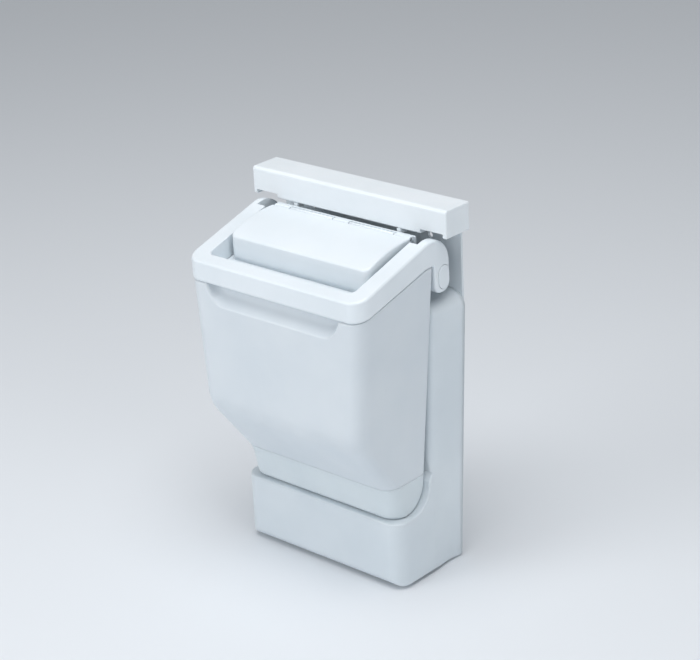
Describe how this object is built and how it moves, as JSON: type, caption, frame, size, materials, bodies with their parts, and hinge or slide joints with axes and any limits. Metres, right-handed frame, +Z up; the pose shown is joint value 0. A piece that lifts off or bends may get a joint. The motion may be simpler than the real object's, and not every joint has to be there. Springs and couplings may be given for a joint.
{
  "type": "refrigerator door water tank",
  "caption": "Removable water tank for a refrigerator door, with a swing handle, a hinged filler flap and a plug-in valve, on its door housing under a hold-down rail.",
  "frame": {"origin": "on the back plate's rear face, the door plane, on the centre line and level with the foot of the tank", "axes": "+X across the door, +Y into the door, +Z up; the tank's front faces -Y"},
  "size_m": [0.228, 0.156, 0.3526],
  "materials": {
    "tank_plastic": "satin moulded",
    "shoe_plastic": "satin moulded",
    "lid_plastic": "semi-gloss moulded",
    "handle_plastic": "semi-gloss moulded",
    "housing_plastic": "satin vacuum-formed",
    "plate_plastic": "satin",
    "rail_plastic": "satin moulded",
    "valve_plastic": "natural moulded",
    "strainer_plastic": "moulded",
    "grey_rubber": "matt",
    "silicone": "translucent satin",
    "pin_steel": "drawn",
    "screw_steel": "zinc plated",
    "spring_steel": "drawn"
  },
  "bodies": {
    "door_mount": {"housing_shell": "housing_plastic", "cradle_base": "housing_plastic", "cradle_pads": "grey_rubber", "back_plate": "plate_plastic", "housing_screws": "screw_steel", "top_rail": "housing_plastic", "rail_screws": "screw_steel", "rail_pads": "rail_plastic", "valve_socket": "valve_plastic", "socket_gasket": "grey_rubber", "socket_probe": "valve_plastic", "socket_screws": "screw_steel", "outlet_hose": "silicone", "outlet_spout": "valve_plastic"},
    "tank": {"tank_body": "tank_plastic", "tank_shoe": "shoe_plastic", "shoe_seal": "grey_rubber", "filler_tray": "lid_plastic", "tray_gasket": "grey_rubber", "flap_hinge_pin": "pin_steel", "rear_bumpers": "grey_rubber", "valve_body": "valve_plastic", "valve_nut": "valve_plastic", "valve_seal": "grey_rubber", "strainer": "strainer_plastic", "valve_spring": "spring_steel"},
    "handle": {"handle_frame": "handle_plastic", "pivot_pin_left": "handle_plastic", "pivot_pin_right": "handle_plastic"},
    "flap": {"filler_flap": "lid_plastic", "flap_gasket": "silicone"},
    "poppet": {"valve_poppet": "valve_plastic", "poppet_seal": "grey_rubber"}
  },
  "joints": [
    {"name": "tank_slide", "type": "slide", "parent": "door_mount", "child": "tank", "axis": [0, -1, 0], "range_m": [0, 0.09]},
    {"name": "handle_swing", "type": "hinge", "parent": "tank", "child": "handle", "pos_m": [0, -0.0252, 0.2137], "axis": [-1, 0, 0], "range_deg": [0, 22]},
    {"name": "flap_hinge", "type": "hinge", "parent": "tank", "child": "flap", "pos_m": [0, -0.0408, 0.2482], "axis": [-1, 0, 0], "range_deg": [0, 85]},
    {"name": "valve_travel", "type": "slide", "parent": "tank", "child": "poppet", "axis": [0, 1, 0], "range_m": [0, 0.004], "stiffness_N_per_m": 60, "springref_m": 0.006, "deforming": ["valve_spring"]}
  ],
  "couplings": [
    {"joint": "valve_travel", "follows": "tank_slide", "ratio": 0.044444}
  ]
}
